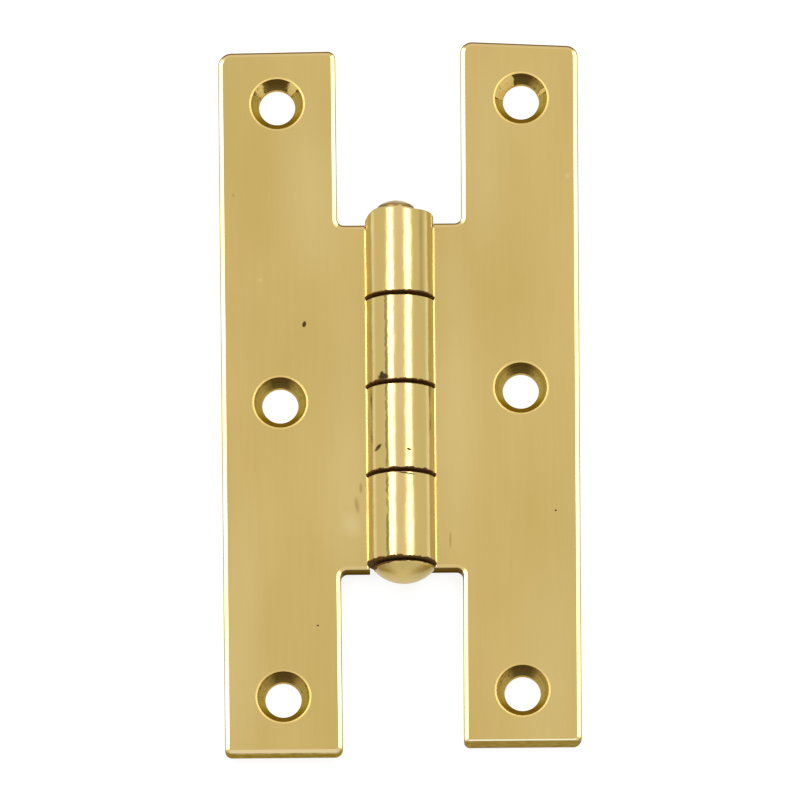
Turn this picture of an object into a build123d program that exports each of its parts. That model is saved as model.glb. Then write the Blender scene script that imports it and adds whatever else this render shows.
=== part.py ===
import os
from math import radians, sqrt, tan

from build123d import *

os.makedirs("parts", exist_ok=True)

# Millimetres. The hinge lies open on its flat back: +Z out of the front, the pin along Y.
# The origin is on the back, under the pin, at half the hinge's length.

# Leaf plates
left_length = 76.37
left_centre = -0.365
left_top_skew = 0.7
right_length = 76.2
right_centre = 0.45
right_top_skew = 2.8
right_foot_bevel = 0.33
leaf_reach = 18.825
leaf_taper = 0.125
leaf_thickness = 2.0
leg_width = 12.35
web_length = 37.6
left_web_shift = 0.05
right_web_shift = 0.2

# Corner radii in the order top inner, top outer, bottom outer, bottom inner
left_corners = (0.85, 1.45, 0.75, 0.85)
right_corners = (1.25, 1.2, 0.95, 0.65)
notch_corner = 0.7

# Front edges, polished down to a shallow band with a broken outer edge
band_width = 0.46
band_depth = 0.115
band_outer_chamfer = 0.11
back_chamfer = 0.15

# Screw holes, from the top down: how far each stands outward of the leg's middle, the insets of
# the end holes from the leaf's ends, and the middle hole's shift from the leaf's centre
left_hole_leans = (0.11, 0, -0.1)
left_top_inset = 5.67
left_bottom_inset = 6.2
left_middle_shift = -0.035
right_hole_leans = (0.3, 0, -0.1)
right_top_inset = 6.0
right_bottom_inset = 5.8
right_middle_shift = 0.55
hole_diameter = 3.8
countersink_diameter = 5.56
countersink_angle = 60
mouth_width = 0.16
mouth_depth = 0.055

# Barrel
barrel_diameter = 7.4
barrel_length = 38.1
knuckle_count = 4
knuckle_gap = 0.4
rim_chamfer = 0.1
slot_clearance = 0.06
root_round = 0.25
root_end = 0.2

# Filed end of the top knuckle
end_stand = 0.05
left_shoulder_round = 1.65
right_shoulder_round = 0.7
right_drop = 0.2
right_drop_width = 1.6
end_round = 0.2

# Pin
pin_diameter = 3.5
pin_clearance = 0.05
head_diameter = 6.36
head_rim = 0.22
head_dome = 1.45
head_gap = 0.3
head_offset = 0.22
head_chamfer = 0.08
cap_diameter = 4.0
cap_rim = 0.65
cap_dome = 0.73
cap_gap = 0.05
cap_offset = -0.36
cap_chamfer = 0.12

# Worked out from the sizes above
barrel_radius = barrel_diameter / 2
bore_radius = pin_diameter / 2 + pin_clearance
barrel_bottom = right_web_shift - web_length / 2
barrel_top = barrel_bottom + barrel_length
knuckle_pitch = (barrel_length + knuckle_gap) / knuckle_count
knuckle_length = knuckle_pitch - knuckle_gap
face_drop = barrel_radius - leaf_thickness
slot_radius = barrel_radius + slot_clearance
slot_edge = sqrt(slot_radius**2 - face_drop**2)
root_reach = sqrt((barrel_radius + root_round) ** 2 - (face_drop - root_round) ** 2)
root_hold = root_reach + root_round / 10
pin_axis = Plane((0, 0, barrel_radius), x_dir=(1, 0, 0), z_dir=(0, 1, 0))
LEFT, RIGHT = -1, 1


def knuckle_span(number):
    """Low and high Y of one knuckle, counted from the top of the barrel."""
    high = barrel_top - number * knuckle_pitch
    return high - knuckle_length, high


def knuckle(number):
    """A turned ring with softened rims."""
    low, high = knuckle_span(number)
    with BuildPart() as ring:
        with BuildSketch(pin_axis.offset(low)):
            Circle(barrel_radius)
        extrude(amount=high - low)
        chamfer(ring.edges().filter_by(GeomType.CIRCLE), rim_chamfer)
    return ring.part


def top_knuckle():
    """The ring at the barrel's top, its end filed out of square with one broad shoulder."""
    low, high = knuckle_span(0)
    side = barrel_radius + end_stand
    left_end = (-side, high)
    right_end = (side, high - right_drop)
    with BuildPart() as ring:
        with BuildSketch(pin_axis.offset(low)):
            Circle(barrel_radius)
        extrude(amount=high - low)
        chamfer(ring.edges().filter_by(GeomType.CIRCLE).sort_by(Axis.Y)[0], rim_chamfer)
        with BuildSketch():
            with BuildLine():
                Polyline(
                    (-side, low),
                    left_end,
                    (0, high),
                    (right_drop_width, high - right_drop),
                    right_end,
                    (side, low),
                    close=True,
                )
            make_face()
            fillet(vertices().sort_by_distance(left_end)[0], left_shoulder_round)
            fillet(vertices().sort_by_distance(right_end)[0], right_shoulder_round)
        extrude(amount=barrel_diameter, mode=Mode.INTERSECT)
        curves = ring.edges().filter_by(GeomType.LINE, reverse=True)
        fillet(curves.filter_by(lambda e: e.center().Y > (low + high) / 2), end_round)
    return ring.part


def root(side, web_top, web_bottom):
    """The hollow curve along the web, where the plate runs up to the barrel."""
    with BuildPart() as foot:
        with BuildSketch(pin_axis.offset(web_bottom + root_end)):
            Circle(barrel_radius)
            with Locations((side * root_hold / 2, barrel_radius - leaf_thickness / 2)):
                Rectangle(root_hold, leaf_thickness)
            front_points = vertices().group_by(Axis.Y)[0]
            fillet(front_points.sort_by(SortBy.DISTANCE)[0], root_round)
            with Locations((side * root_hold / 2, barrel_radius / 2)):
                Rectangle(root_hold, barrel_radius, mode=Mode.INTERSECT)
            Circle(barrel_radius, mode=Mode.SUBTRACT)
        extrude(amount=web_top - web_bottom - 2 * root_end)
    return foot.part


def blank(side, length, centre, corners, web_top, web_bottom, top_skew):
    """The plate of one leaf, two legs and a web, with its edges finished."""
    top, bottom = centre + length / 2, centre - length / 2
    skew = leg_width / 2 * tan(radians(top_skew))

    def outer(y):
        return leaf_reach + leaf_taper * (y - centre) / (length / 2)

    def inner(y):
        return outer(y) - leg_width

    ends = [
        (side * inner(top), top + skew),
        (side * outer(top), top - skew),
        (side * outer(bottom), bottom),
        (side * inner(bottom), bottom),
    ]
    low_notch = (side * inner(web_bottom), web_bottom)
    high_notch = (side * inner(web_top), web_top)
    rounds = [*zip(ends, corners), (low_notch, notch_corner), (high_notch, notch_corner)]
    with BuildPart() as plate:
        with BuildSketch():
            with BuildLine():
                Polyline(*ends, low_notch, (0, web_bottom), (0, web_top), high_notch, close=True)
            make_face()
            for corner, radius in rounds:
                fillet(vertices().sort_by_distance(corner)[0], radius)
        extrude(amount=leaf_thickness)

        def outline_at(height):
            level = plate.edges().filter_by_position(Axis.Z, height - 0.001, height + 0.001)
            return level.filter_by(lambda e: abs(e.center().X) > 0.01)

        front = plate.faces().sort_by(Axis.Z)[-1]
        chamfer(outline_at(leaf_thickness), band_width, length2=band_depth, reference=front)
        chamfer(outline_at(leaf_thickness - band_depth), band_outer_chamfer)
        chamfer(outline_at(0), back_chamfer)
    return plate.part


def foot_cut(side, bottom):
    """What is filed off the end of the right leaf's lower leg."""
    with BuildPart() as wedge:
        with BuildSketch(Plane.YZ):
            with BuildLine():
                Polyline(
                    (bottom, 0),
                    (bottom + right_foot_bevel, leaf_thickness),
                    (bottom, leaf_thickness),
                    close=True,
                )
            make_face()
        extrude(amount=side * 2 * leaf_reach)
    return wedge.part


def hole_places(side, leans, length, centre, top_inset, bottom_inset, middle_shift):
    """Where the screw holes of one leaf stand, from the top down, in step with its ends."""
    top, bottom = centre + length / 2, centre - length / 2
    heights = (top - top_inset, centre + middle_shift, bottom + bottom_inset)
    leg_middle = leaf_reach - leg_width / 2
    return [(side * (leg_middle + lean), y) for lean, y in zip(leans, heights)]


def leaf(side, own_knuckles, plate, web_top, web_bottom, holes):
    """One leaf: its plate with screw holes, knuckles and slots for the other leaf's knuckles."""
    with BuildPart() as made:
        add(plate)
        add(root(side, web_top, web_bottom))
        with Locations(*[(x, y, leaf_thickness) for x, y in holes]):
            CounterSinkHole(
                hole_diameter / 2,
                countersink_diameter / 2,
                counter_sink_angle=countersink_angle,
            )
        circles = made.edges().filter_by(GeomType.CIRCLE)
        mouths = circles.filter_by(lambda e: abs(e.radius - countersink_diameter / 2) < 0.01)
        level = made.faces().filter_by_position(Axis.Z, leaf_thickness - 0.001, leaf_thickness + 0.001)
        front = level.sort_by(SortBy.AREA)[-1]
        chamfer(mouths, mouth_width, length2=mouth_depth, reference=front)
        for number in set(range(knuckle_count)) - set(own_knuckles):
            low, high = knuckle_span(number)
            slot_length = high - low + 2 * knuckle_gap
            with BuildSketch():
                with Locations((0, (low + high) / 2)):
                    Rectangle(2 * slot_edge, slot_length)
            extrude(amount=leaf_thickness, mode=Mode.SUBTRACT)
            with BuildSketch(pin_axis.offset(low - knuckle_gap)):
                Circle(slot_radius)
            extrude(amount=slot_length, mode=Mode.SUBTRACT)
        for number in own_knuckles:
            add(knuckle(number) if number else top_knuckle())
        with BuildSketch(pin_axis.offset(barrel_bottom)):
            Circle(bore_radius)
        extrude(amount=2 * barrel_length, mode=Mode.SUBTRACT)
    return made.part


def domed_disc(base, rim, dome, radius, offset, edge):
    """A round disc on the pin, rim high, with a dome on it and its edges broken."""
    top = (offset, base + rim + dome)
    rim_end = (offset + radius, base + rim)
    with BuildPart() as disc:
        with BuildSketch(Plane.XY.offset(barrel_radius)):
            with BuildLine():
                Polyline(top, (offset, base), (offset + radius, base), rim_end)
                TangentArc(top, rim_end, tangent=(1, 0))
            make_face()
            chamfer(vertices().sort_by(Axis.X)[-2:], edge)
        revolve(axis=Axis((offset, 0, barrel_radius), (0, 1, 0)))
    return disc.part


left_web = (left_web_shift + web_length / 2, left_web_shift - web_length / 2)
left_plate = blank(LEFT, left_length, left_centre, left_corners, *left_web, left_top_skew)
left_insets = (left_top_inset, left_bottom_inset, left_middle_shift)
left_holes = hole_places(LEFT, left_hole_leans, left_length, left_centre, *left_insets)
left_part = leaf(LEFT, (0, 2), left_plate, *left_web, left_holes)
left_part.label = "left_leaf"

right_web = (right_web_shift + web_length / 2, right_web_shift - web_length / 2)
right_plate = blank(RIGHT, right_length, right_centre, right_corners, *right_web, right_top_skew)
right_plate -= foot_cut(RIGHT, right_centre - right_length / 2)
right_insets = (right_top_inset, right_bottom_inset, right_middle_shift)
right_holes = hole_places(RIGHT, right_hole_leans, right_length, right_centre, *right_insets)
right_part = leaf(RIGHT, (1, 3), right_plate, *right_web, right_holes)
right_part.label = "right_leaf"

head_face = barrel_bottom - head_gap
cap_face = barrel_top + cap_gap
with BuildPart() as pin:
    with BuildSketch(pin_axis.offset(head_face)):
        Circle(pin_diameter / 2)
    extrude(amount=cap_face - head_face)
    add(domed_disc(head_face, -head_rim, -head_dome, head_diameter / 2, head_offset, head_chamfer))
    add(domed_disc(cap_face, cap_rim, cap_dome, cap_diameter / 2, cap_offset, cap_chamfer))
pin.part.label = "pin"

for piece in (left_part, right_part, pin.part):
    export_step(piece, f"parts/{piece.label}.step")
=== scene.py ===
import math

import bpy
from mathutils import Matrix, Vector

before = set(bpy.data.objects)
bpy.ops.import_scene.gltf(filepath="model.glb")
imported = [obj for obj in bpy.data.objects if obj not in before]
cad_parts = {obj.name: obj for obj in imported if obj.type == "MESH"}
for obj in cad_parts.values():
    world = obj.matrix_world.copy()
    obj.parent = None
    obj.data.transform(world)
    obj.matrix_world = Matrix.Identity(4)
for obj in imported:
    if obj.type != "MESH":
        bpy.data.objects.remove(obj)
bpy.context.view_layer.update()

MM = 0.001

# Camera: the photo looks down on the hinge, tilted towards the pin's head
VIEW_TILT = 15.0
VIEW_ROLL = 0.48
VIEW_DISTANCE = 3506.5 * MM
VIEW_AIM = Vector((-0.063, 0.275, 0.0)) * MM
LENS = 1500.0
SENSOR = 36.0
NEAREST_SEEN = 0.01
FARTHEST_SEEN = 20.0

# Lamps over the hinge: two angles from upright, seen from the pin, and the radiance between them
LAMP_HEIGHT = 200 * MM
LAMP_LOW_Y = -20 * MM
LAMP_HIGH_Y = 165 * MM
WATTS_PER_RADIANCE = 4.0
WINDOWS = (
    ("window_left", -38, -22, 3.0),
    ("glow_left", -43, -17, 0.4),
    ("window_right", 18, 34, 2.6),
    ("glow_right", 13, 40, 0.4),
)

# World and floor, both shown as white
WORLD_LIGHT = 0.40
FLOOR_GREY = (0.30, 0.30, 0.30)
FLOOR_GLOW = 0.86
FLOOR_REACH = 3.0
FLOOR_HEIGHT = -0.05 * MM

# Places that the finishes follow, in millimetres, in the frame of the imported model
PIN_HEIGHT = 3.7
BARREL_RADIUS = 3.7
BARREL_BOTTOM = -18.6
BARREL_TOP = 19.5
FACE_HEIGHT = 2.0
FEET = -37.0
GAP_CENTRES = (-9.175, 0.45, 10.075)
GAP_HALF = 0.20
GAP_LEAN = 0.05
KNUCKLE_PITCH = 9.625
TOP_GAP = GAP_CENTRES[2]
HOLE_RADIUS = 1.9
COUNTERSINK_RADIUS = 2.76
CONE_TOP = 1.95
CONE_MIDDLE = 2.35
MOUTH_RADIUS = 2.96
CHATTER_Y = 20.0
ROOT_X = 4.15
LEFT_HOLES = ((-12.76, 32.15), (-12.65, -0.40), (-12.55, -32.35))
RIGHT_HOLES = ((12.95, 32.55), (12.65, 1.0), (12.55, -31.85))

# Chatter facets in the top countersinks, where glints are painted: middle and half width, in degrees
# round the hole
LEFT_FACETS = ((138, 13), (46, 11))
RIGHT_FACETS = ((140, 34), (24, 10))

# Marks on the faces and on the barrel: place, half sizes and turn in degrees
LEFT_SPECKS = (
    ((-10.07, 8.08), (0.20, 0.34), -12),
    ((-8.88, -24.68), (0.12, 0.09), 0),
)
LEFT_SMUDGES = (
    ((-4.68, -11.65), (0.22, 0.75), 8),
    ((-4.24, -9.80), (0.16, 0.50), 0),
    ((-17.44, 22.21), (0.10, 0.14), 0),
)
LEFT_SCUFFS = (
    ((-5.22, -13.82), (0.75, 1.10), 15),
    ((-14.68, 12.93), (0.14, 0.18), 0),
)
LEFT_PATCHES = (
    ((-5.6, -8.0), (1.9, 12.0), 0),
    ((-17.0, -24.0), (1.7, 11.0), 0),
    ((-9.5, 24.0), (2.4, 7.0), 5),
)
RIGHT_SPECKS = (((16.2, -12.4), (0.12, 0.10), 0),)
RIGHT_SMUDGES = (((5.1, -15.5), (0.12, 0.80), 0),)
RIGHT_SCUFFS = (((17.80, 24.08), (0.18, 0.26), 0),)
RIGHT_PATCHES = (
    ((5.9, 3.0), (1.8, 13.0), 0),
    ((9.0, 25.0), (2.2, 8.0), -4),
    ((15.5, -27.0), (2.6, 8.0), 0),
)
BARREL_NICKS = (
    ((-1.80, 0.98), (0.52, 0.36), 0),
    ((-1.95, 1.32), (0.20, 0.26), 0),
    ((-2.42, -6.62), (0.44, 0.19), 45),
    ((0.84, -7.02), (0.22, 0.11), -20),
    ((0.60, -9.62), (0.90, 0.07), -6),
)

# Colours, linear
BRASS = (0.600, 0.436, 0.150)
BRASS_PALE = (0.635, 0.468, 0.172)
BRASS_DEEP = (0.570, 0.412, 0.132)
BUFFED = (0.680, 0.500, 0.210)
# Barrel: painted shade at the shoulders, and painted reflections paler down the sides and palest at the
# rim
BARREL_SHOULDER_SHADE = (0.580, 0.440, 0.150)
BARREL_SIDE_REFLECTION = (0.720, 0.600, 0.280)
BARREL_LOW_REFLECTION = (0.800, 0.720, 0.460)
BARREL_RIM_REFLECTION = (0.800, 0.750, 0.620)
# Painted dark reflection, in lines along the barrel
BARREL_DARK_REFLECTION = (0.150, 0.125, 0.045)
FILED = (0.400, 0.310, 0.120)
FOOT_PALE = (0.480, 0.380, 0.150)
FOOT_DEEP = (0.300, 0.215, 0.080)
# Brown for painted shade on the top edges and the cap's base, for a painted dark reflection on the top
# knuckle, and for the feet's darker bottom
EDGE_BROWN = (0.200, 0.120, 0.035)
# Painted shade in the notches, deepest at the bottom
NOTCH_SHADE_SOFT = (0.130, 0.086, 0.034)
NOTCH_SHADE_DEEP = (0.030, 0.020, 0.008)
# Countersink walls: painted shade, darkest on the upper wall, and a lit colour for the sides; the shade
# colours also mark pits and turning rings
CONE_SHADE_AND_PITS = (0.115, 0.080, 0.020)
CONE_LIT_SIDE = (0.450, 0.335, 0.095)
CONE_SHADE_AND_RINGS = (0.190, 0.120, 0.045)
CONE_GRAZE = (0.560, 0.440, 0.220)
# Painted highlight in the hollows at the knuckles' roots
ROOT_HIGHLIGHT = (0.820, 0.740, 0.420)
# Painted highlight on the feet's bevels
SILL_HIGHLIGHT = (0.980, 0.920, 0.660)
# Painted glint on the chatter facets
CHATTER_GLINT = (0.760, 0.570, 0.190)
WHITE = (1.000, 1.000, 1.000)
BACK_BRASS = (0.460, 0.345, 0.135)
# Grime with painted shade, in the gaps, over the pin's head and on the shank
GRIME_AND_SHADE = (0.190, 0.095, 0.026)
SPECK = (0.085, 0.048, 0.014)
SMUDGE = (0.360, 0.250, 0.085)
SCUFF = (0.700, 0.560, 0.260)
PIN_OLIVE = (0.480, 0.380, 0.140)
PIN_ROSE = (0.360, 0.240, 0.115)

# Roughness, and the weak shine of the grime
POLISHED_ROUGHNESS = 0.11
BRUSHING_ROUGHNESS = 0.05
BARREL_ROUGHNESS = 0.17
BARREL_ROUGHNESS_SHARE = 0.6
FILED_ROUGHNESS = 0.32
MOUTH_ROUGHNESS = 0.42
CONE_ROUGHNESS = 0.34
GRIME_ROUGHNESS = 0.8
PIN_ROUGHNESS = 0.25
PIN_ROUGHNESS_CHANGE = 0.15
GRIME_SHINE = 0.12

# Depth of the relief, in millimetres
BARREL_WAVES = 0.030
BARREL_CHASING = 0.006
BARREL_SWELL = 0.120
CONE_RINGS = 0.03
FACET_SLOPE = 0.8
FILE_MARKS = 0.006
BRUSHING = 0.0005
HAMMERING = 0.05
PIN_CLOUDING = 0.015

# Stretch of the noise that each texture comes from
CLOUD_SCALE = (0.10, 0.045, 0.10)
BRUSHING_SCALE = (2.4, 0.11, 2.4)
FILE_SCALE = (3.0, 3.0, 14.0)
MOTTLE_SCALE = (1.1, 1.1, 2.6)
CHASING_SCALE = (2.2, 5.0, 1.0)
WANDER_SCALE = (1.0, 6.0, 1.0)
BARREL_STRETCH = 0.35
KNUCKLE_JUMP = 7.3
RING_SCALE = 6.0
CHATTER_SCALE = 2.6

# Parts of the surface's normal between which one finish gives way to the next
STEEP = (0.80, 0.88)
BANDED = (0.975, 0.992)
FRONT = (0.5, 0.8)
BACK = (-0.8, -0.5)
UPWARD = (0.30, 0.50)
DOWNWARD = (-0.50, -0.30)
LIP_LEAN = (0.12, 0.20)
SILL_LEAN = (-0.24, -0.16)
SILL_FLATNESS = (0.90, 0.95)
SHOULDER_LEAN = (0.25, 0.42)
SIDE_LEAN = (0.68, 0.80)
LOW_LEAN = (0.820, 0.900)
RIM_LEAN = (0.950, 0.962)
LOW_LINE = (0.924, 0.946)
INNER_LINE = (-0.385, -0.310)
TOP_BAND = (0.57, 0.67)
CAP_EDGE_LEAN = (0.40, 0.75)

# Heights over the back between which a finish changes, in millimetres
OVER_BACK = (0.02, 0.05)
OVER_FACE = (FACE_HEIGHT, FACE_HEIGHT + 0.02)
EDGE_BAND_HEIGHT = (1.70, 1.80)
LIP_HEIGHT = (1.920, 1.945)
FOOT_DARKENING_HEIGHT = (0.15, 0.40)
NOTCH_SHADE_HEIGHT = (0.30, 1.85)
CONE_HEIGHT = (CONE_TOP - 0.01, CONE_TOP + 0.005)

# Lengths over which a finish changes across or along the hinge, in millimetres
BARREL_SKIN = (BARREL_RADIUS + 0.02, BARREL_RADIUS + 0.12)
LEFT_TO_RIGHT = (-1.0, 1.0)
OVER_FEET = (FEET, FEET + 1.0)
BELOW_TOP_GAP = (TOP_GAP - 0.1, TOP_GAP)
ABOVE_TOP_GAP = (TOP_GAP, TOP_GAP + 0.1)
PAST_ROOT = (ROOT_X, ROOT_X + 0.1)
CONE_RIM = (COUNTERSINK_RADIUS + 0.01, COUNTERSINK_RADIUS + 0.04)
BORE_RIM = (HOLE_RADIUS + 0.01, HOLE_RADIUS + 0.04)
MOUTH_RIM = (MOUTH_RADIUS, MOUTH_RADIUS + 0.05)
TOP_HOLES = (CHATTER_Y, CHATTER_Y + 1.0)
CAP_START = (BARREL_TOP, BARREL_TOP + 0.3)
CAP_EDGE = (BARREL_TOP + 0.45, BARREL_TOP + 0.95)
SHANK_TOP = (BARREL_TOP + 0.15, BARREL_TOP + 0.25)
SHANK_BOTTOM = (BARREL_BOTTOM - 0.34, BARREL_BOTTOM - 0.26)

# Grime with painted shade in the gaps: noise levels, how far it reaches past a gap, and how soft its
# edge is
RAGGED = (0.36, 0.66)
GRIME_AND_SHADE_LEAST = GAP_HALF - 0.04
GRIME_AND_SHADE_MOST = GAP_HALF + 0.14
GRIME_AND_SHADE_EDGE = (-0.03, 0.03)
HEAD_GAP = 0.12

# Noise levels between which a texture goes from one tone to the other
EVEN = (0.35, 0.65)
SOFT = (0.3, 0.7)
MOTTLED = (0.34, 0.66)
LEAF_TONES = (0.35, 0.95)
BARREL_TONES = (0.25, 0.75)
LOW_LINE_BREAKS = (0.30, 0.50)
INNER_LINE_BREAKS = (0.30, 0.42)
RING_TONES = (0.45, 0.65)
PITTED = (0.56, 0.64)

# Countersink walls: how far up, down or across its hole a point lies, as a share of the way out
LOWER_WALL = (-0.90, -0.25)
UPPER_WALL = (0.1, 0.6)
UPPER_WIDTH = (0.45, 1.00)
PITTED_WALL = (-0.6, 0.6)

# How strongly each tone or mark covers the brass under it
LOW_LINE_SHARE = 0.55
LOW_LINE_LEAST = 0.4
INNER_LINE_SHARE = 0.85
TOP_BAND_SHARE = 0.45
BARREL_TONE_SHARE = 0.35
RING_SHARE = 0.35
FACET_SHARE = 0.85
PIT_SHARE = 0.7
LOWER_PIT_SHARE = 0.3
MOUTH_SHARE = 0.8
LEFT_SILL_SHARE = 0.25
RIGHT_FOOT_SHARE = 0.5
FOOT_DARKENING_SHARE = 0.7
CAP_EDGE_SHARE = 0.8
PATCH_SHARE = 0.30
SCUFF_SHARE = 0.55
SMUDGE_SHARE = 0.60
CLOUD_SHARE = 1.05
BRUSHING_SHARE = 0.20

# How soft the edge of each line or mark is
LOW_LINE_SOFT = 0.008
INNER_LINE_SOFT = 0.012
TOP_BAND_SOFT = 0.05
FACET_SOFT = 4.0
PATCH_SOFT = 0.9
SCUFF_SOFT = 0.7
SMUDGE_SOFT = 0.6
NICK_SOFT = 0.35
SPECK_SOFT = 0.3

# How far noise pushes an edge: parts of the normal, a share of the hole, and degrees round it
INNER_LINE_WANDER = 0.10
UPPER_WALL_WANDER = 0.30
FACET_WANDER = 40.0

# Grime and painted shadow over the pin's head, in millimetres: its ragged part, and its lean towards
# the left
SHANK_RAGGED = 0.16
SHANK_LEAN = 0.28
SHANK_LEAN_X = (-3.0, 1.0)


class Finish:
    """One node material, with short calls that add a node and give back its output."""

    def __init__(self, name):
        self.material = bpy.data.materials.new(name)
        self.material.use_nodes = True
        self.tree = self.material.node_tree
        self.surface = self.tree.nodes["Principled BSDF"]
        self.surface.inputs["Metallic"].default_value = 1.0
        self.surface.inputs["Specular IOR Level"].default_value = GRIME_SHINE
        where = self.tree.nodes.new("ShaderNodeTexCoord").outputs
        self.place = self.vector("SCALE", where["Object"], 1 / MM)
        self.x, self.y, self.z = self.split(self.place)
        self.nx, self.ny, self.nz = self.split(where["Normal"])

    def give(self, socket, value):
        """Links an output to a socket, or sets the socket's own value."""
        if isinstance(value, bpy.types.NodeSocket):
            self.tree.links.new(value, socket)
        elif isinstance(value, tuple) and len(value) == 3 and socket.type == "RGBA":
            socket.default_value = (*value, 1.0)
        else:
            socket.default_value = value

    def node(self, kind, inputs, **settings):
        made = self.tree.nodes.new(kind)
        for name, value in settings.items():
            setattr(made, name, value)
        for name, value in inputs.items():
            self.give(made.inputs[name], value)
        return made

    def maths(self, operation, first, second=0.0, third=0.0):
        inputs = {0: first, 1: second, 2: third}
        return self.node("ShaderNodeMath", inputs, operation=operation).outputs["Value"]

    def vector(self, operation, first, second):
        inputs = {0: first, "Scale" if operation == "SCALE" else 1: second}
        return self.node("ShaderNodeVectorMath", inputs, operation=operation).outputs["Vector"]

    def point(self, x, y, z):
        return self.node("ShaderNodeCombineXYZ", {"X": x, "Y": y, "Z": z}).outputs["Vector"]

    def split(self, vector):
        parts = self.node("ShaderNodeSeparateXYZ", {"Vector": vector}).outputs
        return parts["X"], parts["Y"], parts["Z"]

    def ramp(self, value, span, bottom=0.0, top=1.0):
        """bottom below the span, top above it, smooth between its ends."""
        low, high = span
        inputs = {"Value": value, "From Min": low, "From Max": high, "To Min": bottom, "To Max": top}
        made = self.node("ShaderNodeMapRange", inputs, interpolation_type="SMOOTHSTEP")
        return made.outputs["Result"]

    def fade(self, value, span):
        """1 below the span and 0 above it."""
        return self.ramp(value, span, 1.0, 0.0)

    def between(self, value, span, soft):
        """1 inside the span, and 0 outside."""
        low, high = span
        rise = self.ramp(value, (low - soft, low + soft))
        return self.maths("MULTIPLY", rise, self.fade(value, (high - soft, high + soft)))

    def spot(self, centre, radii, turn, soft):
        """1 inside an ellipse about centre, turned by so many degrees, and 0 outside."""
        across = self.maths("SUBTRACT", self.x, centre[0])
        along = self.maths("SUBTRACT", self.y, centre[1])
        cosine, sine = math.cos(math.radians(turn)), math.sin(math.radians(turn))
        u = self.maths("MULTIPLY_ADD", along, sine, self.maths("MULTIPLY", across, cosine))
        v = self.maths("MULTIPLY_ADD", along, cosine, self.maths("MULTIPLY", across, -sine))
        u = self.maths("DIVIDE", u, radii[0])
        v = self.maths("DIVIDE", v, radii[1])
        reach = self.maths("SQRT", self.maths("MULTIPLY_ADD", u, u, self.maths("MULTIPLY", v, v)))
        return self.fade(reach, (1 - soft, 1 + soft))

    def spots(self, places, soft):
        """1 on every mark in the list."""
        return self.either(*[self.spot(centre, size, turn, soft) for centre, size, turn in places])

    def noise(self, vector, scale=1.0, detail=2.0, roughness=0.5, seed=0.0):
        inputs = {"Vector": vector, "W": seed, "Scale": scale, "Detail": detail, "Roughness": roughness}
        return self.node("ShaderNodeTexNoise", inputs, noise_dimensions="4D").outputs["Fac"]

    def mix(self, share, first, second):
        """The colour first where share is 0, and second where it is 1."""
        inputs = {0: share, 6: first, 7: second}
        return self.node("ShaderNodeMix", inputs, data_type="RGBA").outputs[2]

    def blend(self, share, first, second):
        """The number first where share is 0, and second where it is 1."""
        inputs = {0: share, 2: first, 3: second}
        return self.node("ShaderNodeMix", inputs, data_type="FLOAT").outputs[0]

    def either(self, *masks):
        total = masks[0]
        for mask in masks[1:]:
            total = self.maths("MAXIMUM", total, mask)
        return total

    def both(self, *masks):
        total = masks[0]
        for mask in masks[1:]:
            total = self.maths("MULTIPLY", total, mask)
        return total

    def bump(self, height, depth, below=None):
        """Raises the surface by height times depth, in millimetres."""
        inputs = {"Height": height, "Distance": depth * MM, "Strength": 1.0}
        if below is not None:
            inputs["Normal"] = below
        return self.node("ShaderNodeBump", inputs).outputs["Normal"]

    def finish(self, colour, roughness, metallic, normal, graze=None):
        """graze is the tint of the light that the metal sends back at a low angle."""
        self.give(self.surface.inputs["Base Color"], colour)
        self.give(self.surface.inputs["Roughness"], roughness)
        self.give(self.surface.inputs["Metallic"], metallic)
        self.give(self.surface.inputs["Normal"], normal)
        if graze is not None:
            self.give(self.surface.inputs["Specular Tint"], graze)
        return self.material


def axis_distance(skin):
    """How far a point is from the pin's axis."""
    height = skin.maths("SUBTRACT", skin.z, PIN_HEIGHT)
    square = skin.maths("MULTIPLY_ADD", skin.x, skin.x, skin.maths("MULTIPLY", height, height))
    return skin.maths("SQRT", square)


def barrel_place(skin):
    """The barrel unrolled: the arc round the pin, the length along it, and a jump at each knuckle."""
    height = skin.maths("SUBTRACT", skin.z, PIN_HEIGHT)
    arc = skin.maths("MULTIPLY", skin.maths("ARCTAN2", skin.x, height), BARREL_RADIUS)
    along = skin.maths("SUBTRACT", skin.y, GAP_CENTRES[1])
    number = skin.maths("FLOOR", skin.maths("DIVIDE", along, KNUCKLE_PITCH))
    length = skin.maths("MULTIPLY", skin.y, BARREL_STRETCH)
    return skin.point(arc, length, skin.maths("MULTIPLY", number, KNUCKLE_JUMP))


def gap_grime_and_shade(skin, barrel):
    """Brown dirt and painted shade in the gaps between the knuckles and over the pin's head, with a
    ragged edge.
    """
    ragged = skin.noise(skin.place, scale=1.5, detail=5.0, roughness=0.7, seed=4.0)
    edge = skin.ramp(ragged, RAGGED, GRIME_AND_SHADE_LEAST, GRIME_AND_SHADE_MOST)
    masks = []
    for centre in GAP_CENTRES:
        away = skin.maths("ABSOLUTE", skin.maths("SUBTRACT", skin.y, centre + GAP_LEAN))
        masks.append(skin.fade(skin.maths("SUBTRACT", away, edge), GRIME_AND_SHADE_EDGE))
    over_head = skin.maths("SUBTRACT", skin.y, BARREL_BOTTOM - HEAD_GAP)
    masks.append(skin.fade(skin.maths("SUBTRACT", over_head, edge), GRIME_AND_SHADE_EDGE))
    return skin.both(skin.either(*masks), barrel)


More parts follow.
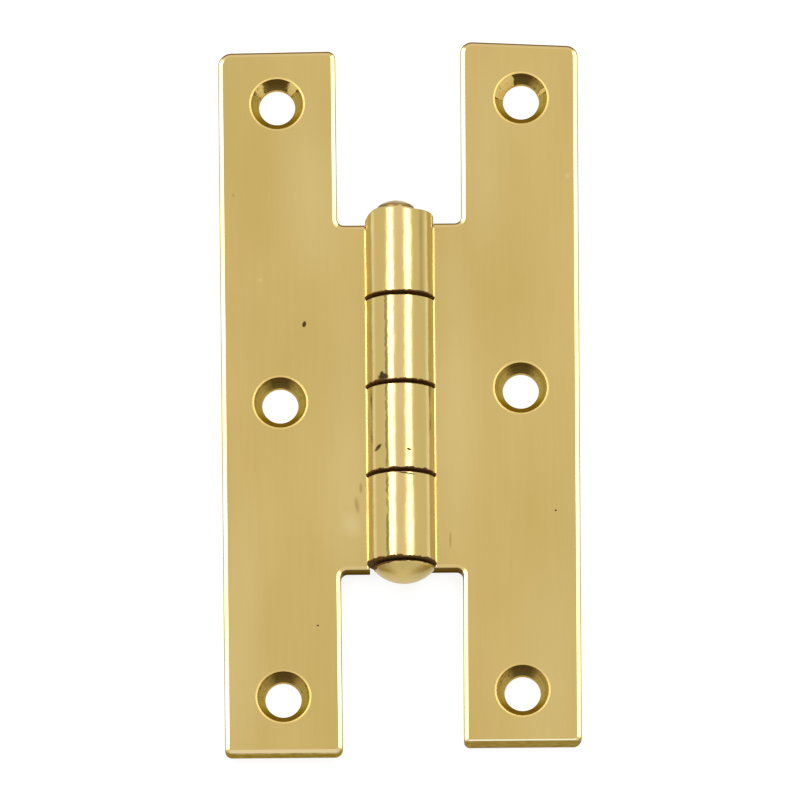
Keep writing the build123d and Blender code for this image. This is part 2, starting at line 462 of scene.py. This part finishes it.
def barrel_reflection_lines(skin, lean, broken):
    """Painted dark reflections in lines along the barrel: one low on each side, and a broken one left
    of its middle.
    """
    low = skin.between(lean, LOW_LINE, LOW_LINE_SOFT)
    low = skin.both(low, skin.ramp(broken, LOW_LINE_BREAKS, LOW_LINE_LEAST, 1.0))
    fine = skin.noise(skin.vector("MULTIPLY", barrel_place(skin), WANDER_SCALE), detail=3.0, seed=32.0)
    wander = skin.maths("MULTIPLY_ADD", fine, INNER_LINE_WANDER, skin.nx)
    inner = skin.between(wander, INNER_LINE, INNER_LINE_SOFT)
    inner = skin.both(inner, skin.ramp(broken, INNER_LINE_BREAKS), skin.fade(skin.y, BELOW_TOP_GAP))
    low = skin.maths("MULTIPLY", low, LOW_LINE_SHARE)
    return skin.either(low, skin.maths("MULTIPLY", inner, INNER_LINE_SHARE))


def top_knuckle_reflection(skin):
    """A painted dark reflection, in a band along the right of the top knuckle."""
    band = skin.both(skin.between(skin.nx, TOP_BAND, TOP_BAND_SOFT), skin.ramp(skin.y, ABOVE_TOP_GAP))
    return skin.maths("MULTIPLY", band, TOP_BAND_SHARE)


def barrel_colour(skin, face):
    """Buffed brass on top of the barrel, with painted shade at its shoulders, painted reflections paler
    down its sides and palest at its rim, and thin painted dark reflections along it.
    """
    lean = skin.maths("ABSOLUTE", skin.nx)
    colour = skin.mix(skin.ramp(lean, SHOULDER_LEAN), BUFFED, BARREL_SHOULDER_SHADE)
    colour = skin.mix(skin.ramp(lean, SIDE_LEAN), colour, BARREL_SIDE_REFLECTION)
    colour = skin.mix(skin.ramp(lean, LOW_LEAN), colour, BARREL_LOW_REFLECTION)
    colour = skin.mix(skin.ramp(lean, RIM_LEAN), colour, BARREL_RIM_REFLECTION)
    broken = skin.noise(barrel_place(skin), scale=0.8, detail=3.0, seed=31.0)
    colour = skin.mix(barrel_reflection_lines(skin, lean, broken), colour, BARREL_DARK_REFLECTION)
    colour = skin.mix(top_knuckle_reflection(skin), colour, EDGE_BROWN)
    return skin.mix(skin.ramp(broken, BARREL_TONES, 0.0, BARREL_TONE_SHARE), colour, face)


def hole_parts(skin, holes):
    """Masks for cones and bores, the way across and up from the nearest axis, and the distance."""
    nearest, across, up = None, None, None
    for x, y in holes:
        over = skin.maths("SUBTRACT", skin.x, x)
        along = skin.maths("SUBTRACT", skin.y, y)
        square = skin.maths("MULTIPLY_ADD", over, over, skin.maths("MULTIPLY", along, along))
        away = skin.maths("SQRT", square)
        if nearest is None:
            nearest, across, up = away, over, along
            continue
        closer = skin.maths("LESS_THAN", away, nearest)
        across = skin.blend(closer, across, over)
        up = skin.blend(closer, up, along)
        nearest = skin.maths("MINIMUM", nearest, away)
    cone = skin.both(skin.fade(nearest, CONE_RIM), skin.fade(skin.z, CONE_HEIGHT))
    bore = skin.fade(nearest, BORE_RIM)
    across = skin.maths("DIVIDE", across, nearest)
    up = skin.maths("DIVIDE", up, nearest)
    return cone, bore, across, up, nearest


def cone_walls(skin, across, up, rings, chatter):
    """Turned walls with painted shade: darkest at the upper side of the hole, brown at the lower and
    lighter at the sides, with brown turning rings.
    """
    walls = skin.mix(skin.ramp(up, LOWER_WALL), CONE_SHADE_AND_RINGS, CONE_LIT_SIDE)
    wander = skin.maths("MULTIPLY_ADD", chatter, UPPER_WALL_WANDER, skin.maths("ABSOLUTE", across))
    upper = skin.both(skin.fade(wander, UPPER_WIDTH), skin.ramp(up, UPPER_WALL))
    walls = skin.mix(upper, walls, CONE_SHADE_AND_PITS)
    return skin.mix(skin.ramp(rings, RING_TONES, 0.0, RING_SHARE), walls, CONE_SHADE_AND_RINGS)


def chatter_facets(skin, across, up, chatter, facets):
    """Facets that the countersink's chatter left, in the top holes alone, where a glint is painted and
    the surface tilts.
    """
    angle = skin.maths("DEGREES", skin.maths("ARCTAN2", up, across))
    angle = skin.maths("MULTIPLY_ADD", skin.maths("SUBTRACT", chatter, 0.5), FACET_WANDER, angle)
    spans = [(middle - half, middle + half) for middle, half in facets]
    bright = skin.either(*[skin.between(angle, span, FACET_SOFT) for span in spans])
    return skin.both(bright, skin.ramp(skin.y, TOP_HOLES, 0.0, FACET_SHARE))


def cone_colour(skin, across, up, away, facets, seed):
    """The countersinks' colour with its painted shade and glints, and the heights of their turning
    rings and of their facets.
    """
    turned = skin.point(skin.maths("MULTIPLY", away, RING_SCALE), 0.0, seed)
    rings = skin.noise(turned, detail=3.0, seed=seed)
    around = [skin.maths("MULTIPLY", way, CHATTER_SCALE) for way in (across, up)]
    chatter = skin.noise(skin.point(*around, skin.y), detail=3.0, roughness=0.6, seed=seed + 0.5)
    bright = chatter_facets(skin, across, up, chatter, facets)
    walls = skin.mix(bright, cone_walls(skin, across, up, rings, chatter), CHATTER_GLINT)
    slope = skin.both(bright, skin.maths("SUBTRACT", CONE_MIDDLE, away))
    pits = skin.noise(skin.place, scale=3.2, detail=4.0, roughness=0.7, seed=seed + 0.7)
    worn = skin.ramp(pits, PITTED, 0.0, PIT_SHARE)
    worn = skin.both(worn, skin.ramp(up, PITTED_WALL, LOWER_PIT_SHARE, 1.0))
    return skin.mix(worn, walls, CONE_SHADE_AND_PITS), rings, slope


def shaded_top_edges(skin, flat, steep):
    """Painted shade on the top edges' outer band and the lip inside it."""
    upward = skin.both(steep, skin.ramp(skin.ny, UPWARD), skin.ramp(skin.z, EDGE_BAND_HEIGHT))
    lip = skin.both(skin.ramp(skin.ny, LIP_LEAN), skin.fade(skin.z, LIP_HEIGHT), flat)
    return skin.either(upward, lip)


def sill_highlights(skin, flat):
    """A painted highlight on the bevel along each foot, weaker on the left leaf."""
    sill = skin.both(skin.fade(skin.ny, SILL_LEAN), skin.ramp(skin.nz, SILL_FLATNESS))
    sill = skin.both(sill, flat, skin.fade(skin.y, OVER_FEET))
    return skin.both(sill, skin.ramp(skin.x, LEFT_TO_RIGHT, LEFT_SILL_SHARE, 1.0))


def foot_colour(skin):
    """Mottled olive feet, darker on the right leaf and darker along the bottom."""
    mottle = skin.noise(skin.vector("MULTIPLY", skin.place, MOTTLE_SCALE), detail=4.0, seed=18.0)
    foot = skin.mix(skin.ramp(mottle, MOTTLED), FOOT_DEEP, FOOT_PALE)
    foot = skin.mix(skin.ramp(skin.x, LEFT_TO_RIGHT, 0.0, RIGHT_FOOT_SHARE), foot, FOOT_DEEP)
    low_darkening = skin.ramp(skin.z, FOOT_DARKENING_HEIGHT, FOOT_DARKENING_SHARE, 0.0)
    return skin.mix(low_darkening, foot, EDGE_BROWN)


def rim_colour(skin, colour, flat):
    """Filed sides, painted shade on the top edges and in the notches, painted highlights on the feet's
    bevels, and mottled feet, wherever the leaf turns down.
    """
    steep = skin.both(skin.fade(skin.nz, STEEP), flat)
    files = skin.noise(skin.vector("MULTIPLY", skin.place, FILE_SCALE), detail=3.0, seed=17.0)
    colour = skin.mix(steep, colour, skin.mix(skin.ramp(files, EVEN), FILED, FOOT_PALE))
    colour = skin.mix(shaded_top_edges(skin, flat, steep), colour, EDGE_BROWN)
    colour = skin.mix(sill_highlights(skin, flat), colour, SILL_HIGHLIGHT)
    # Painted shade on the notches' downward faces, deepest at the bottom
    notch_shade = skin.mix(skin.ramp(skin.z, NOTCH_SHADE_HEIGHT), NOTCH_SHADE_DEEP, NOTCH_SHADE_SOFT)
    below = skin.mix(skin.ramp(skin.y, OVER_FEET), foot_colour(skin), notch_shade)
    downward = skin.both(steep, skin.fade(skin.ny, DOWNWARD))
    return skin.mix(downward, colour, below), steep, files


def marked(skin, colour, places, mark, share, mask, soft):
    """Mixes one kind of mark into a colour at every place in the list."""
    spots = skin.both(skin.spots(places, soft), mask)
    return skin.mix(skin.maths("MULTIPLY", spots, share), colour, mark)


def face_colour(skin, marks, strokes, flat, seed):
    """Polished brass in soft clouds, faintly brushed, with pale patches, scuffs and smudges."""
    smudges, scuffs, patches = marks
    clouds = skin.noise(skin.vector("MULTIPLY", skin.place, CLOUD_SCALE), detail=2.0, seed=seed)
    clouds = skin.maths("MULTIPLY", clouds, CLOUD_SHARE)
    tone = skin.maths("MULTIPLY_ADD", strokes, BRUSHING_SHARE, clouds)
    colour = skin.mix(skin.ramp(tone, LEAF_TONES), BRASS_DEEP, BRASS_PALE)
    colour = marked(skin, colour, patches, SCUFF, PATCH_SHARE, flat, PATCH_SOFT)
    colour = marked(skin, colour, scuffs, SCUFF, SCUFF_SHARE, flat, SCUFF_SOFT)
    return marked(skin, colour, smudges, SMUDGE, SMUDGE_SHARE, flat, SMUDGE_SOFT)


def root_highlights(skin, flat):
    """The hollow where each knuckle grows out of its leaf, where a pale highlight is painted."""
    beside = skin.fade(skin.maths("ABSOLUTE", skin.x), PAST_ROOT)
    return skin.both(beside, flat, skin.ramp(skin.z, OVER_FACE))


def barrel_relief(skin, barrel, seed):
    """Slow swells, hand waves and fine chasing on the barrel."""
    waves = skin.noise(barrel_place(skin), scale=0.9, detail=2.0, seed=seed + 3)
    swell = skin.noise(barrel_place(skin), scale=0.28, detail=1.0, seed=seed + 5)
    chased = skin.vector("MULTIPLY", barrel_place(skin), CHASING_SCALE)
    chased = skin.noise(chased, detail=3.0, seed=seed + 6)
    normal = skin.bump(skin.both(waves, barrel), BARREL_WAVES)
    normal = skin.bump(skin.both(chased, barrel), BARREL_CHASING, normal)
    return skin.bump(skin.both(swell, barrel), BARREL_SWELL, normal)


def hole_colour(skin, colour, holes, facets, banded, seed):
    """Countersinks with their buffed mouths, painted shade and glints on their walls, and plain bores,
    over the face's own colour.
    """
    cone, bore, across, up, away = hole_parts(skin, holes)
    walls, rings, slope = cone_colour(skin, across, up, away, facets, seed + 2)
    mouth = skin.both(banded, skin.fade(away, MOUTH_RIM))
    colour = skin.mix(skin.maths("MULTIPLY", mouth, MOUTH_SHARE), colour, BRASS_DEEP)
    colour = skin.mix(cone, colour, skin.mix(bore, walls, BRASS_DEEP))
    return colour, cone, mouth, skin.both(rings, cone), skin.both(slope, cone)


def dirt_colour(skin, colour, specks, barrel, flat):
    """Nicks on the barrel, dirt and painted shade in its gaps, and dark specks on the face."""
    front = skin.ramp(skin.nz, FRONT)
    nicks = skin.both(skin.spots(BARREL_NICKS, NICK_SOFT), barrel, front)
    gaps = gap_grime_and_shade(skin, barrel)
    dots = skin.both(skin.spots(specks, SPECK_SOFT), flat, front)
    colour = skin.mix(nicks, colour, SPECK)
    colour = skin.mix(gaps, colour, GRIME_AND_SHADE)
    colour = skin.mix(dots, colour, SPECK)
    return colour, skin.either(gaps, nicks, dots)


def leaf_roughness(skin, strokes, barrel, filed, mouth, cone, grime_and_shade):
    """Smoothest on the polished face, and roughest in the dirt and painted shade of the gaps."""
    roughness = skin.maths("MULTIPLY_ADD", strokes, BRUSHING_ROUGHNESS, POLISHED_ROUGHNESS)
    part = skin.maths("MULTIPLY", barrel, BARREL_ROUGHNESS_SHARE)
    roughness = skin.blend(part, roughness, BARREL_ROUGHNESS)
    roughness = skin.blend(filed, roughness, FILED_ROUGHNESS)
    roughness = skin.blend(mouth, roughness, MOUTH_ROUGHNESS)
    roughness = skin.blend(cone, roughness, CONE_ROUGHNESS)
    return skin.blend(grime_and_shade, roughness, GRIME_ROUGHNESS)


def leaf_relief(skin, barrel, rings, slope, files, strokes, seed):
    """The barrel's swells, turning rings and facets, file marks on the edges, and faint brushing."""
    normal = barrel_relief(skin, barrel, seed)
    normal = skin.bump(rings, CONE_RINGS, normal)
    normal = skin.bump(slope, FACET_SLOPE, normal)
    normal = skin.bump(files, FILE_MARKS, normal)
    return skin.bump(strokes, BRUSHING, normal)


def leaf_finish(name, holes, facets, marks, seed):
    """Polished brass with faint brushing, turned countersinks, filed edges, the barrel and dirt, with
    painted shade, highlights, glints and reflections.
    """
    skin = Finish(name)
    specks, *face_marks = marks
    barrel = skin.fade(axis_distance(skin), BARREL_SKIN)
    flat = skin.maths("SUBTRACT", 1.0, barrel)
    strokes = skin.vector("MULTIPLY", skin.place, BRUSHING_SCALE)
    strokes = skin.noise(strokes, detail=3.0, seed=seed + 1)
    colour = face_colour(skin, face_marks, strokes, flat, seed)
    banded = skin.fade(skin.nz, BANDED)
    colour = skin.mix(skin.both(banded, flat), colour, BUFFED)
    colour, steep, files = rim_colour(skin, colour, flat)
    back = skin.both(skin.fade(skin.nz, BACK), skin.fade(skin.z, OVER_BACK))
    colour = skin.mix(back, colour, skin.mix(skin.ramp(strokes, SOFT), BACK_BRASS, FILED))
    # A painted highlight in the root hollows
    colour = skin.mix(root_highlights(skin, flat), colour, ROOT_HIGHLIGHT)
    colour = skin.mix(barrel, colour, barrel_colour(skin, colour))
    colour, cone, mouth, rings, slope = hole_colour(skin, colour, holes, facets, banded, seed)
    colour, grime_and_shade = dirt_colour(skin, colour, specks, barrel, flat)

    filed = skin.either(steep, back)
    roughness = leaf_roughness(skin, strokes, barrel, filed, mouth, cone, grime_and_shade)
    normal = leaf_relief(skin, barrel, rings, slope, skin.both(files, steep), strokes, seed)
    metallic = skin.maths("SUBTRACT", 1.0, grime_and_shade)
    graze = skin.mix(skin.either(cone, steep), WHITE, CONE_GRAZE)
    return skin.finish(colour, roughness, metallic, normal, graze)


def peened_colour(skin, hammered):
    """The pin's peened end: a rosy middle, and painted shade at its base and sides."""
    peened = skin.mix(skin.ramp(hammered, EVEN), PIN_ROSE, PIN_OLIVE)
    sides = skin.ramp(skin.maths("ABSOLUTE", skin.nx), CAP_EDGE_LEAN)
    cap_shade = skin.either(skin.fade(skin.y, CAP_EDGE), sides)
    return skin.mix(skin.maths("MULTIPLY", cap_shade, CAP_EDGE_SHARE), peened, EDGE_BROWN)


def shank_grime_and_shade(skin):
    """Dirt and painted shade on the shank, reaching a little over the head, and further at the left."""
    ragged = skin.noise(skin.place, scale=0.8, detail=3.0, roughness=0.5, seed=23.0)
    lean = skin.ramp(skin.x, SHANK_LEAN_X, SHANK_LEAN, 0.0)
    reach = skin.maths("ADD", skin.ramp(ragged, RAGGED, 0.0, SHANK_RAGGED), lean)
    over_head = skin.ramp(skin.maths("ADD", skin.y, reach), SHANK_BOTTOM)
    return skin.both(over_head, skin.fade(skin.y, SHANK_TOP))


def pin_finish():
    """The pin: olive head, peened end with painted shade at its base and sides, and dirt with painted
    shade on the shank.
    """
    skin = Finish("pin_brass_worn")
    cloud = skin.noise(skin.place, scale=0.6, detail=4.0, roughness=0.6, seed=21.0)
    hammered = skin.noise(skin.place, scale=1.3, detail=2.0, seed=22.0)
    colour = skin.mix(skin.ramp(cloud, SOFT), PIN_OLIVE, BRASS)
    colour = skin.mix(skin.ramp(skin.y, CAP_START), colour, peened_colour(skin, hammered))
    shank = shank_grime_and_shade(skin)
    colour = skin.mix(shank, colour, GRIME_AND_SHADE)
    roughness = skin.maths("MULTIPLY_ADD", cloud, PIN_ROUGHNESS_CHANGE, PIN_ROUGHNESS)
    roughness = skin.blend(shank, roughness, GRIME_ROUGHNESS)
    normal = skin.bump(cloud, PIN_CLOUDING, skin.bump(hammered, HAMMERING))
    return skin.finish(colour, roughness, skin.maths("SUBTRACT", 1.0, shank), normal)


def dress(node, material):
    """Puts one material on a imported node."""
    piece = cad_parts[node]
    piece.data.materials.clear()
    piece.data.materials.append(material)


def seen_or_shown(tree):
    """1 for rays from the camera, a mirror or a glass, and 0 for the light that falls on things."""
    path = tree.nodes.new("ShaderNodeLightPath")
    total = path.outputs["Is Camera Ray"]
    for name in ("Is Glossy Ray", "Is Transmission Ray"):
        step = tree.nodes.new("ShaderNodeMath")
        step.operation = "MAXIMUM"
        tree.links.new(total, step.inputs[0])
        tree.links.new(path.outputs[name], step.inputs[1])
        total = step.outputs[0]
    return total


def make_world():
    """A white studio, shown at full white, that lights things at a lower level."""
    world = bpy.data.worlds.new("studio")
    bpy.context.scene.world = world
    world.use_nodes = True
    tree = world.node_tree
    level = tree.nodes.new("ShaderNodeMapRange")
    tree.links.new(seen_or_shown(tree), level.inputs["Value"])
    level.inputs["To Min"].default_value = WORLD_LIGHT
    level.inputs["To Max"].default_value = 1.0
    background = tree.nodes["Background"]
    background.inputs["Color"].default_value = (*WHITE, 1.0)
    tree.links.new(level.outputs["Result"], background.inputs["Strength"])


def floor_sheet():
    """A flat square that faces up, just under the hinge."""
    near, far = -FLOOR_REACH, FLOOR_REACH
    corners = [(near, near), (far, near), (far, far), (near, far)]
    mesh = bpy.data.meshes.new("floor")
    mesh.from_pydata([(x, y, FLOOR_HEIGHT) for x, y in corners], [], [(0, 1, 2, 3)])
    floor = bpy.data.objects.new("floor", mesh)
    bpy.context.scene.collection.objects.link(floor)
    return floor


def make_floor():
    """A pale floor that keeps a soft shadow, and that can be looked through from below."""
    material = bpy.data.materials.new("floor_white")
    material.use_nodes = True
    tree = material.node_tree
    tree.nodes.remove(tree.nodes["Principled BSDF"])
    diffuse = tree.nodes.new("ShaderNodeBsdfDiffuse")
    diffuse.inputs["Color"].default_value = (*FLOOR_GREY, 1.0)
    glow = tree.nodes.new("ShaderNodeEmission")
    level = tree.nodes.new("ShaderNodeMath")
    level.operation = "MULTIPLY"
    level.inputs[1].default_value = FLOOR_GLOW
    tree.links.new(seen_or_shown(tree), level.inputs[0])
    tree.links.new(level.outputs[0], glow.inputs["Strength"])
    lit = tree.nodes.new("ShaderNodeAddShader")
    tree.links.new(diffuse.outputs[0], lit.inputs[0])
    tree.links.new(glow.outputs[0], lit.inputs[1])
    clear = tree.nodes.new("ShaderNodeBsdfTransparent")
    side = tree.nodes.new("ShaderNodeMixShader")
    facing = tree.nodes.new("ShaderNodeNewGeometry")
    tree.links.new(facing.outputs["Backfacing"], side.inputs[0])
    tree.links.new(lit.outputs[0], side.inputs[1])
    tree.links.new(clear.outputs[0], side.inputs[2])
    tree.links.new(side.outputs[0], tree.nodes["Material Output"].inputs["Surface"])
    floor_sheet().data.materials.append(material)


def reach_of(angle):
    """Where a line at so many degrees from upright over the pin meets the lamps' height."""
    return LAMP_HEIGHT * math.tan(math.radians(angle))


def add_window(name, low_angle, high_angle, radiance):
    """A long lamp over the hinge, between two angles seen from the pin."""
    low, high = reach_of(low_angle), reach_of(high_angle)
    lamp = bpy.data.lights.new(name, "AREA")
    lamp.shape = "RECTANGLE"
    lamp.size = high - low
    lamp.size_y = LAMP_HIGH_Y - LAMP_LOW_Y
    lamp.energy = radiance * lamp.size * lamp.size_y * WATTS_PER_RADIANCE
    holder = bpy.data.objects.new(name, lamp)
    holder.location = ((low + high) / 2, (LAMP_LOW_Y + LAMP_HIGH_Y) / 2, LAMP_HEIGHT)
    holder.visible_camera = False
    bpy.context.scene.collection.objects.link(holder)


def make_camera():
    """Looks straight at the hinge, tilted by VIEW_TILT towards the pin's head."""
    tilt, roll = math.radians(VIEW_TILT), math.radians(VIEW_ROLL)
    back = Vector((0.0, -math.sin(tilt), math.cos(tilt)))
    level = Vector((1.0, 0.0, 0.0))
    upright = back.cross(level)
    right = level * math.cos(roll) - upright * math.sin(roll)
    up = level * math.sin(roll) + upright * math.cos(roll)
    lens = bpy.data.cameras.new("camera")
    lens.lens = LENS
    lens.sensor_width = SENSOR
    lens.clip_start = NEAREST_SEEN
    lens.clip_end = FARTHEST_SEEN
    camera = bpy.data.objects.new("camera", lens)
    place = Matrix((right, up, back)).transposed().to_4x4()
    place.translation = VIEW_AIM + back * VIEW_DISTANCE
    camera.matrix_world = place
    bpy.context.scene.collection.objects.link(camera)
    bpy.context.scene.camera = camera


bpy.context.scene.view_settings.view_transform = "Standard"
make_camera()
make_world()
make_floor()
for window in WINDOWS:
    add_window(*window)

left_marks = (LEFT_SPECKS, LEFT_SMUDGES, LEFT_SCUFFS, LEFT_PATCHES)
right_marks = (RIGHT_SPECKS, RIGHT_SMUDGES, RIGHT_SCUFFS, RIGHT_PATCHES)
left_finish = leaf_finish("polished_brass_left", LEFT_HOLES, LEFT_FACETS, left_marks, 1.0)
right_finish = leaf_finish("polished_brass_right", RIGHT_HOLES, RIGHT_FACETS, right_marks, 8.0)
dress("left_leaf", left_finish)
dress("right_leaf", right_finish)
dress("pin", pin_finish())
